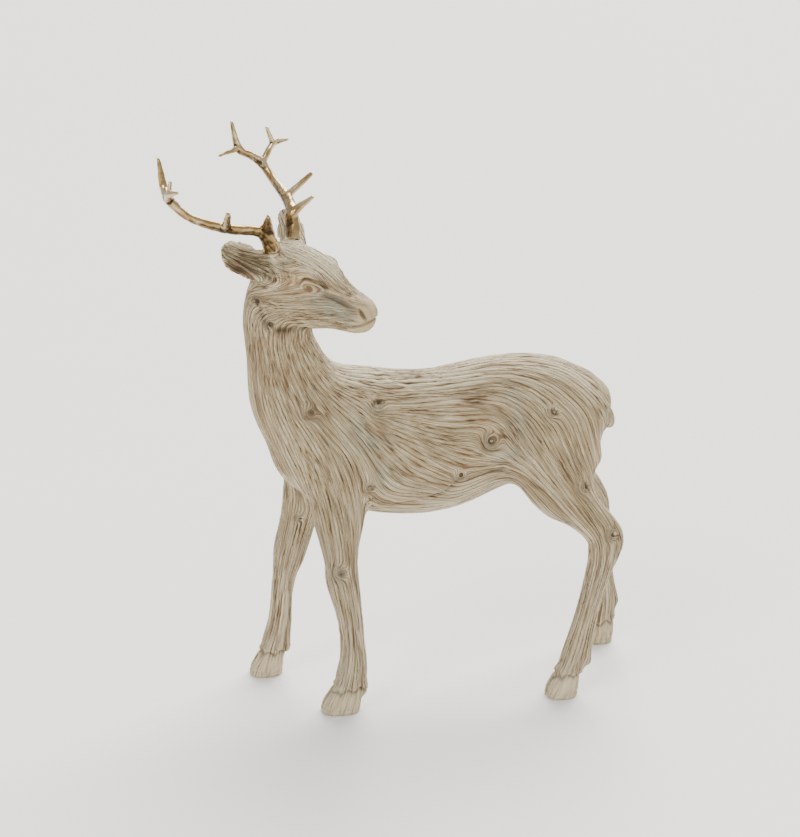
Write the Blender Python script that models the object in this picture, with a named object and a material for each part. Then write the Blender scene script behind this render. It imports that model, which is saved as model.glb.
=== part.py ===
"""Standing reindeer figurine, cast in one piece, with two gilded antlers that plug into its head.

The animal faces -X and stands on the plane z = 0, with +Z up. Its left flank is on the -Y side, and
its head looks back over that side. Free-form stations are written in carver's units, 450 to the
figure's height. Fits between the pieces are written in metres.
"""

import math

import bpy
import numpy as np
from mathutils import Matrix, Vector

FIGURE_HEIGHT = 0.450  # ground to antler tips
UNIT = FIGURE_HEIGHT / 450  # one carver's unit, in metres

PEG_RADIUS = 0.0032  # the round peg under each antler
PEG_LENGTH = 0.0090  # from the antler's flat foot to the peg's end
SOCKET_CLEARANCE = 0.0004  # between the peg and its socket, all round
SOCKET_END_ROOM = 0.0008  # between the peg's end and the socket's floor
SEAT_GAP = 0.0004  # between the antler's flat foot and the head's flat seat

SEAT_RADIUS = 7.5  # of the flat ring cut in the head round each antler's foot, in units
SEAT_CLEARING = 0.010  # height above the seat that is kept clear of the casting
GROUND_DEPTH = 0.050  # thickness of the slab that cuts the soles flat

HEAD_ORIGIN = (-85, -10, 365)  # between the antler seats, in units
HEAD_TURN = math.radians(34)  # from +X towards the left flank, -Y
HEAD_DROP = math.radians(10)  # muzzle below level
HEAD_TILT = math.radians(5.5)  # the head's own left raised

RING_SIDES = 28
STEPS_BETWEEN = 6
BODY_VOXEL = 2.0 * UNIT
BODY_ROUNDS = 5  # rounds of softening over the whole casting
TRUNK_ROUNDS = 100  # further rounds over the trunk and the root of the neck
BODY_FACES = 7000
ANTLER_VOXEL = 0.8 * UNIT
ANTLER_ROUNDS = 2
ANTLER_FACES = 1060


def clear_scene():
    """Takes away what the file opened with."""
    for obj in list(bpy.data.objects):
        bpy.data.objects.remove(obj, do_unlink=True)


def finish(name, colour, roughness, metallic):
    """A new material of one piece."""
    material = bpy.data.materials.new(name)
    material.use_nodes = True
    shader = material.node_tree.nodes["Principled BSDF"]
    shader.inputs["Base Color"].default_value = (*colour, 1.0)
    shader.inputs["Roughness"].default_value = roughness
    shader.inputs["Metallic"].default_value = metallic
    return material


def head_axes():
    """The head's forward, left and up directions, as the columns of a matrix."""
    turn = Matrix.Rotation(-HEAD_TURN, 3, "Z")
    drop = Matrix.Rotation(HEAD_DROP, 3, "Y")
    tilt = Matrix.Rotation(HEAD_TILT, 3, "X")
    return turn @ drop @ tilt


HEAD_AXES = head_axes()


def at_head(forward, left, up):
    """A point given in the head's own directions, in units."""
    return Vector(HEAD_ORIGIN) + HEAD_AXES @ Vector((forward, left, up))


def smooth_through(rows, steps):
    """Rows of numbers read from a Catmull-Rom curve through the given rows."""
    rows = np.array(rows, float)
    padded = np.vstack([2 * rows[0] - rows[1], rows, 2 * rows[-1] - rows[-2]])
    made = []
    for i in range(1, len(padded) - 2):
        before, start, end, after = padded[i - 1 : i + 3]
        for t in np.arange(steps) / steps:
            made.append(
                0.5
                * (
                    2 * start
                    + (end - before) * t
                    + (2 * before - 5 * start + 4 * end - after) * t**2
                    + (3 * start - before - 3 * end + after) * t**3
                )
            )
    made.append(padded[-2])
    return np.array(made)


def tube(stations, side, level=False, squareness=2.0, cup=0.0):
    """Points and faces of a closed tube through stations of (x, y, z, half side, half depth, narrowing).

    side is the direction of the half side. The half depth runs along the path's direction crossed with
    side, and narrowing draws the side in towards that end. A level tube has horizontal rings. A cup
    bends each ring's ends along the depth, by a share of its half side.
    """
    rows = smooth_through(stations, STEPS_BETWEEN)
    centres = rows[:, :3]
    along = np.gradient(centres, axis=0)
    if level:
        along = np.tile([0.0, 0.0, np.sign(centres[-1, 2] - centres[0, 2])], (len(rows), 1))
    along /= np.linalg.norm(along, axis=1)[:, None]
    side = np.array(side, float)
    across = side - along * (along @ side)[:, None]
    across /= np.linalg.norm(across, axis=1)[:, None]
    depth = np.cross(along, across)
    angle = np.arange(RING_SIDES) * math.tau / RING_SIDES
    power = 2 / squareness
    cos = np.sign(np.cos(angle)) * np.abs(np.cos(angle)) ** power
    sin = np.sign(np.sin(angle)) * np.abs(np.sin(angle)) ** power
    half_side, half_depth, narrowing = rows[:, 3:6].T
    side_reach = half_side[:, None] * cos * (1 - narrowing[:, None] * sin)
    depth_reach = half_depth[:, None] * sin + cup * half_side[:, None] * (cos**2 - 0.5)
    rings = (
        centres[:, None]
        + side_reach[..., None] * across[:, None]
        + depth_reach[..., None] * depth[:, None]
    )
    points = np.concatenate([rings.reshape(-1, 3), centres[:1], centres[-1:]])
    first_pole, last_pole = len(points) - 2, len(points) - 1
    faces = []
    for k in range(RING_SIDES):
        n = (k + 1) % RING_SIDES
        for r in range(len(rows) - 1):
            a, b = r * RING_SIDES, (r + 1) * RING_SIDES
            faces.append((a + k, a + n, b + n, b + k))
        last = (len(rows) - 1) * RING_SIDES
        faces.append((first_pole, n, k))
        faces.append((last_pole, last + k, last + n))
    return points, faces


def joined(tubes):
    """One mesh of several closed tubes, scaled from units to metres."""
    points, faces, count = [], [], 0
    for tube_points, tube_faces in tubes:
        points.append(tube_points)
        faces += [tuple(i + count for i in face) for face in tube_faces]
        count += len(tube_points)
    mesh = bpy.data.meshes.new("tubes")
    mesh.from_pydata([tuple(p) for p in np.concatenate(points) * UNIT], [], faces)
    mesh.update()
    return mesh


# Stations: x, y, z of the centre, half side, half depth, narrowing.

TRUNK = [
    (-97, 0, 214, 9, 10, 0.0),
    (-92, 0, 213, 19, 24, 0.0),
    (-81, 0, 212.5, 28, 41, 0.05),
    (-62, 0, 214.5, 35, 52, 0.15),
    (-38, 0, 215, 38, 55.5, 0.25),
    (-8, 0, 208.5, 40, 57.5, 0.25),
    (26, 0, 206.5, 41, 57, 0.22),
    (60, 0, 215.5, 39.5, 54, 0.2),
    (90, 0, 223, 37.5, 50.5, 0.2),
    (120, 0, 223, 38, 46.5, 0.2),
    (142, 0, 216, 34, 38.5, 0.15),
    (154, 0, 208.5, 26, 30, 0.1),
    (162.5, 0, 205, 12, 16, 0.0),
]
NECK = [
    (-40, 0, 194, 22, 26, 0.0),
    (-54, 0, 210, 29, 38, 0.0),
    (-67.5, 0, 231, 31, 39.5, 0.0),
    (-78, 0, 251, 29.5, 37.5, 0.0),
    (-84.5, -1, 272, 26, 31.5, 0.0),
    (-89.3, -2, 292, 23.5, 26.3, 0.0),
    (-90, -3, 312, 22.5, 25.5, 0.0),
    (-88, -4, 332, 21, 23, 0.0),
    (-87, -5, 346, 15, 17, 0.0),
]
# Stations of the head: forward, top, underside, half side, narrowing.
HEAD = [
    (-21, -20, -38, 8, 0.0),
    (-14, -8, -47, 17, 0.05),
    (0, 3, -54, 22, 0.1),
    (14, 4, -59, 23.5, 0.12),
    (28, 0.5, -58.5, 22, 0.12),
    (40, -6.5, -55.5, 17.5, 0.1),
    (50, -13.5, -52.5, 13.5, 0.05),
    (60, -18, -51.5, 11, 0.0),
    (70, -20.5, -49.5, 9.8, -0.05),
    (76.5, -24.5, -44.5, 7.5, 0.0),
    (79.5, -29.5, -39, 3.5, 0.0),
]
# Over and beside each eye, on the head's right: forward, left, up, half side, half depth, narrowing.
BROW = [
    (17, -14, -7, 2, 3, 0.0),
    (26, -16, -8.5, 4, 5, 0.0),
    (34, -16, -11.5, 4.5, 5, 0.0),
    (42, -13, -16, 2.5, 3.5, 0.0),
]
EYE = [
    (29.5, -16.5, -19, 2, 2, 0.0),
    (32, -17.2, -18.8, 3.4, 3.6, 0.0),
    (35.5, -17, -18.4, 3.9, 4.0, 0.0),
    (39, -15.4, -19, 3.2, 3.2, 0.0),
    (42, -13.4, -20, 1.8, 1.8, 0.0),
]
BOSS = (7.2, 6.6)  # half side and half depth of the boss under each antler


def mirrored(rows, across):
    """Places and sizes of the rows on the head's right, or on its left where across is -1."""
    return [((f, l * across, u), rest) for f, l, u, *rest in rows]


def trunk_tubes():
    """The trunk, and the neck that grows out of it."""
    return [
        tube(TRUNK, (0, 1, 0), squareness=2.1),
        tube(NECK, (0, 1, 0)),
    ]


def head_tubes():
    """The skull and muzzle, with a brow and an eye on each side."""
    rows = []
    for forward, top, underside, side, narrowing in HEAD:
        centre = at_head(forward, 0, (top + underside) / 2)
        rows.append((*centre, side, (top - underside) / 2, narrowing))
    made = [tube(rows, HEAD_AXES.col[1], squareness=2.15)]
    for across in (1, -1):
        for lump in (BROW, EYE):
            rows = [(*at_head(*place), *rest) for place, rest in mirrored(lump, across)]
            made.append(tube(rows, HEAD_AXES.col[2]))
    return made


LEFT_FORELEG = [
    (-54, -17, 216, 12, 24, 0.0),
    (-52.5, -23, 196, 17, 27.5, 0.0),
    (-49.5, -28, 174, 16.5, 24, 0.0),
    (-49.5, -31.5, 152, 14, 19, 0.0),
    (-49.3, -33.5, 137, 11.8, 15.3, 0.0),
    (-48.6, -34, 123, 10.6, 13, 0.0),
    (-48.2, -34, 111, 10.8, 13.2, 0.0),
    (-46.2, -34.3, 99, 9.8, 12.4, 0.0),
    (-43.9, -34.8, 86, 8.6, 10.9, 0.0),
    (-41.8, -35.3, 71, 7.9, 10, 0.0),
    (-40.9, -35.8, 56, 8.0, 10, 0.0),
    (-40.6, -37, 42, 9.0, 11, 0.0),
    (-42.2, -38, 29, 10.0, 12.2, 0.0),
    (-46.5, -38.6, 17, 9.0, 10, 0.0),
]
LEFT_FORE_HOOF = [
    (-44, -38.5, 27, 9.0, 9.5, 0.0),
    (-46.5, -38.8, 18, 10.4, 12.0, 0.0),
    (-49.2, -39, 10, 11.6, 15, 0.0),
    (-51, -39.2, 4, 12.0, 15.8, 0.0),
    (-51.4, -39.2, -3, 12.0, 15.8, 0.0),
]
RIGHT_FORELEG = [
    (-58, 16, 210, 12, 24, 0.0),
    (-61, 23, 188, 17, 26, 0.0),
    (-66.5, 28, 164, 16, 20.5, 0.0),
    (-71.5, 31, 144, 13.5, 15.5, 0.0),
    (-76, 33, 126, 11.8, 14.5, 0.0),
    (-80, 34, 111, 11.0, 14, 0.0),
    (-82, 34.5, 101, 10.2, 12.8, 0.0),
    (-85, 35, 88, 8.6, 10.2, 0.0),
    (-87.4, 35.5, 73, 7.8, 9.2, 0.0),
    (-88.8, 36, 58, 7.8, 9.2, 0.0),
    (-90.2, 36.5, 43, 8.6, 10.2, 0.0),
    (-93.2, 36.5, 29, 9.8, 11.6, 0.0),
    (-98, 36, 17, 9.0, 9.8, 0.0),
]
RIGHT_FORE_HOOF = [
    (-95, 36, 27, 9.0, 9.5, 0.0),
    (-97.5, 35.8, 18, 10.0, 11.0, 0.0),
    (-100.5, 35.6, 10, 11.2, 12.8, 0.0),
    (-102.2, 35.5, 4, 11.6, 13.8, 0.0),
    (-102.6, 35.5, -3, 11.6, 13.8, 0.0),
]
LEFT_HIND_LEG = [
    (119, -16, 226, 13, 28, 0.0),
    (121.5, -23, 204, 18, 35, 0.0),
    (121.5, -29, 184, 18, 35, 0.0),
    (127.5, -33, 168, 16.5, 26, 0.0),
    (139, -36.5, 154.5, 14, 17, 0.0),
    (151.5, -39, 141.5, 11.5, 14.5, 0.0),
    (158.5, -40.5, 130, 10, 15, 0.0),
    (157.5, -41, 117, 9.2, 12.8, 0.0),
    (154.6, -41.5, 106, 8.4, 11, 0.0),
    (151, -42, 93, 7.8, 10, 0.0),
    (147.5, -42.3, 79, 7.6, 9.5, 0.0),
    (144, -42.8, 65, 7.8, 9.5, 0.0),
    (140.5, -43.4, 51, 8.4, 10.2, 0.0),
    (137.5, -44, 37, 9.4, 11.8, 0.0),
    (133, -44, 26, 9.2, 10.4, 0.0),
    (128, -44, 15, 8.4, 9.4, 0.0),
]
LEFT_HIND_HOOF = [
    (132.4, -44, 26, 8.8, 9.6, 0.0),
    (129, -44, 16, 10.0, 11.2, 0.0),
    (126.8, -44, 9, 11.0, 12.8, 0.0),
    (125.6, -44, 4, 11.4, 13.4, 0.0),
    (125.4, -44, -3, 11.4, 13.4, 0.0),
]
RIGHT_HIND_LEG = [
    (122, 16, 226, 13, 28, 0.0),
    (127, 23, 204, 18, 33, 0.0),
    (134, 29, 184, 18, 29, 0.0),
    (143, 34, 168, 16, 22.5, 0.0),
    (155, 38, 154, 13.5, 16.5, 0.0),
    (166, 41, 142, 11.5, 14, 0.0),
    (173, 42.5, 129, 10, 13.4, 0.0),
    (175.5, 43, 117, 9.2, 12.4, 0.0),
    (178, 43.5, 105, 8.4, 10.6, 0.0),
    (180.5, 44, 92, 7.8, 9.4, 0.0),
    (182.5, 44.5, 78, 7.6, 8.8, 0.0),
    (184.5, 45, 64, 7.8, 8.8, 0.0),
    (186.5, 45.6, 50, 8.4, 9.6, 0.0),
    (187.5, 46.2, 37, 9.4, 11.0, 0.0),
    (185.5, 46.8, 26, 9.2, 10.4, 0.0),
    (183, 47.2, 15, 8.4, 9.4, 0.0),
]
RIGHT_HIND_HOOF = [
    (186, 47, 26, 8.8, 10.0, 0.0),
    (184.5, 47.2, 16, 10.0, 11.6, 0.0),
    (183, 47.4, 9, 11.0, 13.2, 0.0),
    (182.2, 47.5, 4, 11.4, 13.6, 0.0),
    (182, 47.5, -3, 11.4, 13.6, 0.0),
]
# Each leg, its hoof, and the back edge and foot of its dewclaws.
LEGS = [
    (LEFT_FORELEG, LEFT_FORE_HOOF, -29.5, 13.5),
    (RIGHT_FORELEG, RIGHT_FORE_HOOF, -81.5, 20),
    (LEFT_HIND_LEG, LEFT_HIND_HOOF, 149.5, 26),
    (RIGHT_HIND_LEG, RIGHT_HIND_HOOF, 199.5, 33),
]
DEWCLAW_SPREAD = 4.6  # from the middle of the leg to the middle of each claw


def dewclaw_tubes(middle, back, foot):
    """The pair of small claws behind the pastern."""
    made = []
    for way in (-1, 1):
        side = middle + way * DEWCLAW_SPREAD
        rows = [
            (back - 7, side, foot + 17, 2.5, 2.5, 0.0),
            (back - 5.2, side, foot + 10, 4.0, 4.0, 0.0),
            (back - 4.2, side, foot + 3.5, 4.2, 4.2, 0.0),
            (back - 4.6, side, foot, 3.2, 3.0, 0.0),
        ]
        made.append(tube(rows, (0, 1, 0), level=True))
    return made


def leg_tubes():
    """The four legs with their hooves and dewclaws."""
    made = []
    for leg, hoof, claw_back, claw_foot in LEGS:
        made.append(tube(leg, (0, 1, 0)))
        made.append(tube(hoof, (0, 1, 0), level=True, squareness=2.4))
        made += dewclaw_tubes(hoof[0][1], claw_back, claw_foot)
    return made


TAIL = [
    (145, 0, 243.5, 5, 5, 0.0),
    (152.5, 0, 238, 8, 6.5, 0.0),
    (160, 0, 229.5, 9, 6.5, 0.0),
    (166.5, 0, 220.5, 8.5, 6, 0.0),
    (170, 0, 213.5, 6.5, 5.2, 0.0),
    (171, 0, 208.5, 4.4, 3.8, 0.0),
]
# Stations of each ear, then the direction of its width, both in the head's directions:
# forward, left, up, half side, half depth, narrowing.
RIGHT_EAR = [
    (2, -13.5, -15.6, 7.0, 5.0, 0.0),
    (-3.7, -19.4, -12.9, 10.0, 4.2, 0.0),
    (-8.4, -26.4, -9.3, 12.2, 3.4, 0.0),
    (-14.1, -34.7, -4.4, 13.0, 2.8, 0.0),
    (-19.3, -41.3, 0.1, 11.8, 2.4, 0.0),
    (-22.4, -45.9, 3.3, 8.8, 2.0, 0.0),
    (-23.7, -48.8, 4.5, 5, 1.5, 0.0),
]
RIGHT_EAR_SPREAD = (-0.10, 0.45, 0.89)
LEFT_EAR = [
    (3.5, 15, -13, 8.5, 5.0, 0.0),
    (-2.5, 22, -7, 11, 4.2, 0.0),
    (-8.5, 28, -2, 11.5, 3.4, 0.0),
    (-14, 34, 2.5, 11, 2.8, 0.0),
    (-19.3, 38.5, 6, 9, 2.4, 0.0),
    (-23.4, 41, 8.5, 6, 2.0, 0.0),
    (-25, 42, 9.5, 3.4, 1.5, 0.0),
]
LEFT_EAR_SPREAD = (0.95, 0.10, 0.23)
EAR_CUP = 0.32  # how far the ear's edges curl over its hollow, as a share of its half width


def ear_tubes():
    """The two ears, each cupped towards its hollow."""
    made = []
    ears = ((RIGHT_EAR, RIGHT_EAR_SPREAD, -EAR_CUP), (LEFT_EAR, LEFT_EAR_SPREAD, EAR_CUP))
    for stations, spread, cup in ears:
        rows = [(*at_head(*row[:3]), *row[3:]) for row in stations]
        made.append(tube(rows, HEAD_AXES @ Vector(spread), cup=cup))
    return made


def boss_tubes():
    """The raised boss that each antler stands on."""
    made = []
    for places in (LEFT_ANTLER, RIGHT_ANTLER):
        foot = at_head(*places["foot"])
        lean = at_head(*places["pedicle"]) - foot
        rows = [(*(foot + lean * share), *BOSS, 0.0) for share in (-1.2, -0.5, 0.3)]
        made.append(tube(rows, HEAD_AXES.col[0]))
    return made


def tail_tubes():
    """The short hanging tail."""
    return [tube(TAIL, (0, 1, 0))]


# The antlers branch alike, but each was bent a little its own way when it was set in the head.
# Places are forward, left and up in the head's directions.
LEFT_ANTLER = {
    "root": (2, 12.0, -8),
    "foot": (-0.1, 15.2, -0.4),
    "pedicle": (-3.1, 18.4, 8.9),
    "bend": (-9.0, 26.0, 17.6),
    "brow fork": (-5.2, 20.4, 17.9),
    "brow tip": (4.7, 33.0, 30.1),
    "second fork": (-23.7, 44.1, 19.2),
    "second tip": (-12.6, 61.4, 36.5),
    "beam": (-43.2, 58.8, 23.9),
    "crown fork": (-56.7, 63.8, 32.5),
    "crown stem": (-54.4, 74.8, 45.7),
    "crown spike": (-59.3, 70.5, 59.6),
    "crown tip": (-43.6, 79.7, 51.2),
    "upper beam": (-65.0, 59.2, 38.2),
    "rear fork": (-72.4, 53.8, 43.1),
    "beam tip": (-79.6, 52.0, 63.4),
    "rear tip": (-80.5, 38.3, 38.4),
}
RIGHT_ANTLER = {
    "root": (2, -12.0, -8),
    "foot": (-0.6, -15.2, 0.1),
    "pedicle": (-2.6, -18.4, 8.2),
    "bend": (-8.0, -26.0, 16.4),
    "brow fork": (-3.8, -20.4, 16.2),
    "brow tip": (2.5, -33.0, 32.7),
    "second fork": (-24.0, -44.1, 19.5),
    "second tip": (-13.7, -61.4, 38.0),
    "beam": (-45.0, -58.8, 26.2),
    "crown fork": (-59.8, -63.8, 36.8),
    "crown stem": (-54.0, -74.8, 45.1),
    "crown spike": (-55.4, -70.6, 54.0),
    "crown tip": (-43.3, -79.7, 50.7),
    "upper beam": (-65.4, -59.2, 38.6),
    "rear fork": (-71.1, -53.9, 41.2),
    "beam tip": (-78.0, -52.0, 61.0),
    "rear tip": (-82.3, -38.3, 41.1),
}
# Each branch runs through these places, with its half side and half depth at each.
BRANCHES = [
    [
        ("root", 6.4, 4.8),
        ("foot", 6.4, 4.8),
        ("pedicle", 6.0, 4.2),
        ("bend", 4.7, 3.5),
        ("second fork", 4.4, 3.3),
        ("beam", 3.4, 2.7),
        ("crown fork", 4.0, 2.6),
        ("upper beam", 3.4, 2.4),
        ("rear fork", 3.5, 2.3),
        ("beam tip", 1.4, 1.2),
    ],
    [("foot", 6.1, 4.6), ("pedicle", 6.0, 4.1), ("brow fork", 5.2, 3.6), ("brow tip", 1.6, 1.4)],
    [("second fork", 3.7, 2.9), ("second tip", 2.0, 1.8)],
    [("crown fork", 3.3, 2.5), ("crown stem", 2.8, 2.2), ("crown tip", 1.2, 1.1)],
    [("crown stem", 2.5, 2.0), ("crown spike", 1.4, 1.2)],
    [("rear fork", 2.9, 2.2), ("rear tip", 1.2, 1.1)],
]
ANTLER_SIDE = (0.75, 0, 0.66)  # direction of the half side, in the head's directions


def antler_tubes(places):
    """The beam and tines of one antler, through its named places."""
    made = []
    for branch in BRANCHES:
        rows = [(*at_head(*places[name]), side, depth, 0.0) for name, side, depth in branch]
        made.append(tube(rows, HEAD_AXES @ Vector(ANTLER_SIDE)))
    return made


def seat_frame(places):
    """A matrix at the antler's foot, in metres, whose Z points up the pedicle."""
    foot = at_head(*places["foot"])
    lean = at_head(*places["pedicle"]) - foot
    turned = lean.to_track_quat("Z", "Y").to_matrix().to_4x4()
    return Matrix.Translation(foot * UNIT) @ turned


def helper(obj):
    """Marks an object that only shapes others."""
    obj.hide_render = True
    obj.display_type = "WIRE"
    return obj


def cylinder(name, frame, radius, low, high, sides=32):
    """A round bar along the frame's Z, from low to high."""
    ring = [(math.cos(a), math.sin(a)) for a in np.arange(sides) * math.tau / sides]
    points = [(radius * c, radius * s, z) for z in (low, high) for c, s in ring]
    faces = [tuple(reversed(range(sides))), tuple(range(sides, 2 * sides))]
    faces += [(k, (k + 1) % sides, sides + (k + 1) % sides, sides + k) for k in range(sides)]
    mesh = bpy.data.meshes.new(name)
    mesh.from_pydata(points, [], faces)
    obj = bpy.data.objects.new(name, mesh)
    bpy.context.scene.collection.objects.link(obj)
    obj.matrix_world = frame
    return obj


def ground_block():
    """A slab under z = 0 that cuts the soles flat."""
    frame = Matrix.Identity(4)
    return helper(cylinder("ground_cutter", frame, FIGURE_HEIGHT, -GROUND_DEPTH, 0.0, sides=8))


def boolean(obj, other, operation):
    """Adds a live Boolean of the object with another."""
    modifier = obj.modifiers.new(f"{operation.lower()} {other.name}", "BOOLEAN")
    modifier.operation = operation
    modifier.solver = "EXACT"
    modifier.object = other


def skinned(obj, voxel):
    """Melts the object's overlapping tubes into one skin of small even faces."""
    remesh = obj.modifiers.new("skin", "REMESH")
    remesh.mode = "VOXEL"
    remesh.voxel_size = voxel
    remesh.use_smooth_shade = True
    bpy.context.view_layer.update()
    evaluated = obj.evaluated_get(bpy.context.evaluated_depsgraph_get())
    skin = bpy.data.meshes.new_from_object(evaluated)
    obj.modifiers.clear()
    obj.data = skin


def soften(mesh, rounds, share):
    """Moves each point towards the middle of its neighbours, by half of its share each round."""
    points = np.empty(len(mesh.vertices) * 3)
    mesh.vertices.foreach_get("co", points)
    points = points.reshape(-1, 3)
    edges = np.empty(len(mesh.edges) * 2, int)
    mesh.edges.foreach_get("vertices", edges)
    start, end = edges.reshape(-1, 2).T
    ends = np.concatenate([start, end])
    others = np.concatenate([end, start])
    count = np.bincount(ends, minlength=len(points))[:, None]
    weight = share(points)[:, None] / 2
    for _ in range(rounds):
        sums = [np.bincount(ends, points[others, k], len(points)) for k in range(3)]
        points += weight * (np.stack(sums, axis=1) / count - points)
    mesh.vertices.foreach_set("co", points.ravel())
    mesh.update()


def everywhere(points):
    """One at every point."""
    return np.ones(len(points))


def over_trunk(points):
    """One over the trunk and the root of the neck, fading out towards the head, tail and legs."""
    x, _, z = points.T / UNIT
    above_legs = np.clip((z - 152) / 26, 0, 1)
    below_head = np.clip((304 - z) / 30, 0, 1)
    before_tail = np.clip((156 - x) / 14, 0, 1)
    return above_legs * below_head * before_tail


def thin_out(obj, faces):
    """Keeps the given number of triangles, most of them where the form turns sharply."""
    present = sum(len(face.vertices) - 2 for face in obj.data.polygons)
    thin = obj.modifiers.new("thin", "DECIMATE")
    thin.ratio = faces / present


def make_body():
    """The one-piece casting, with a flat seat and a blind socket for each antler."""
    tubes = trunk_tubes() + head_tubes() + ear_tubes() + boss_tubes() + tail_tubes() + leg_tubes()
    mesh = joined(tubes)
    body = bpy.data.objects.new("body", mesh)
    bpy.context.scene.collection.objects.link(body)
    skinned(body, BODY_VOXEL)
    soften(body.data, BODY_ROUNDS, everywhere)
    soften(body.data, TRUNK_ROUNDS, over_trunk)
    body.data.materials.append(finish("whitewashed resin", (0.62, 0.55, 0.43), 0.7, 0.0))
    thin_out(body, BODY_FACES)
    boolean(body, ground_block(), "DIFFERENCE")
    for side, places in (("left", LEFT_ANTLER), ("right", RIGHT_ANTLER)):
        frame = seat_frame(places)
        clearing = cylinder(f"{side}_seat_cutter", frame, SEAT_RADIUS * UNIT, 0.0, SEAT_CLEARING)
        boolean(body, helper(clearing), "DIFFERENCE")
        depth = PEG_LENGTH + SOCKET_END_ROOM
        radius = PEG_RADIUS + SOCKET_CLEARANCE
        socket = cylinder(f"{side}_socket_cutter", frame, radius, -depth, SEAT_CLEARING / 2)
        boolean(body, helper(socket), "DIFFERENCE")
    return body


def make_antler(side, places):
    """One antler, cut flat at its foot and pegged below it."""
    antler = bpy.data.objects.new(f"{side}_antler", joined(antler_tubes(places)))
    bpy.context.scene.collection.objects.link(antler)
    skinned(antler, ANTLER_VOXEL)
    soften(antler.data, ANTLER_ROUNDS, everywhere)
    antler.data.materials.append(finish(f"gilding {side}", (0.55, 0.40, 0.22), 0.3, 1.0))
    thin_out(antler, ANTLER_FACES)
    frame = seat_frame(places)
    below = cylinder(f"{side}_foot_cutter", frame, 3 * SEAT_CLEARING, -3 * SEAT_CLEARING, SEAT_GAP)
    boolean(antler, helper(below), "DIFFERENCE")
    peg = cylinder(f"{side}_peg_form", frame, PEG_RADIUS, SEAT_GAP - PEG_LENGTH, PEG_RADIUS)
    boolean(antler, helper(peg), "UNION")
    return antler


def centre_over_origin(pieces):
    """Carries everything on one empty, so that the pieces' joint box stands centred on the origin."""
    bpy.context.view_layer.update()
    depsgraph = bpy.context.evaluated_depsgraph_get()
    corners = []
    for piece in pieces:
        corners += [piece.matrix_world @ Vector(c) for c in piece.evaluated_get(depsgraph).bound_box]
    lowest = np.min(corners, axis=0)
    highest = np.max(corners, axis=0)
    carried = list(bpy.data.objects)
    carrier = bpy.data.objects.new("figure", None)
    bpy.context.scene.collection.objects.link(carrier)
    for obj in carried:
        obj.parent = carrier
    carrier.location = (*-(lowest + highest)[:2] / 2, 0)


def main():
    clear_scene()
    pieces = [make_body()]
    for side, places in (("left", LEFT_ANTLER), ("right", RIGHT_ANTLER)):
        pieces.append(make_antler(side, places))
    centre_over_origin(pieces)


main()
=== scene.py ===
"""Dresses the reindeer figurine: a whitewashed casting with carved grain, and two gilded antlers.

Sizes are in metres in the frame's own axes. The carving is worked out in millimetres.
"""

import logging
import math
from dataclasses import dataclass
from enum import Enum
from typing import Any, Callable, Optional, Sequence, Union

import bpy
import numpy as np
from mathutils import Matrix, Vector
from mathutils.bvhtree import BVHTree


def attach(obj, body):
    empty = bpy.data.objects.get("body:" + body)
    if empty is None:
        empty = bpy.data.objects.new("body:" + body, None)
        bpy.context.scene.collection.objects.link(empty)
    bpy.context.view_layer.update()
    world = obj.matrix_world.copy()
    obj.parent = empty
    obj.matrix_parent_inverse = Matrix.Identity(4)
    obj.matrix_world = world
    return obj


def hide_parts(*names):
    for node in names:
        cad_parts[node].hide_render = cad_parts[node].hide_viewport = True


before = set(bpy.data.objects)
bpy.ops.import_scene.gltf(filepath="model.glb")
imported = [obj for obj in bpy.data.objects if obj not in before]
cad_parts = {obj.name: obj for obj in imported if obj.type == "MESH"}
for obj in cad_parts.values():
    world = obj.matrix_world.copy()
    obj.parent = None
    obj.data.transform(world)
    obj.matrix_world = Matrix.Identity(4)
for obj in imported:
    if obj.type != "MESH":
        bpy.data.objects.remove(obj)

log = logging.getLogger("figurine")

MM = 0.001
MIDDLE = -7.64  # the figure's middle plane across, in millimetres
HEAD_CENTRE = np.array((-97.354, -17.64, 365.0))  # origin of the head's own axes
HEAD_AXES = np.array(  # its forward, left and up
    ((0.8164, -0.5507, -0.1736), (0.5703, 0.8161, 0.0944), (0.0897, -0.1761, 0.9803))
)
LOCKS = 0.62  # how many times finer than the pitches in WAVES the locks are
HAIRS = 1.75  # the same for the hairs between them
LOCK_STEEPNESS = 2.2  # how steeply a lock rises out of its groove

Arrays = np.ndarray
Triple = tuple[float, float, float]
Number = Union[float, "Value"]


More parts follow.
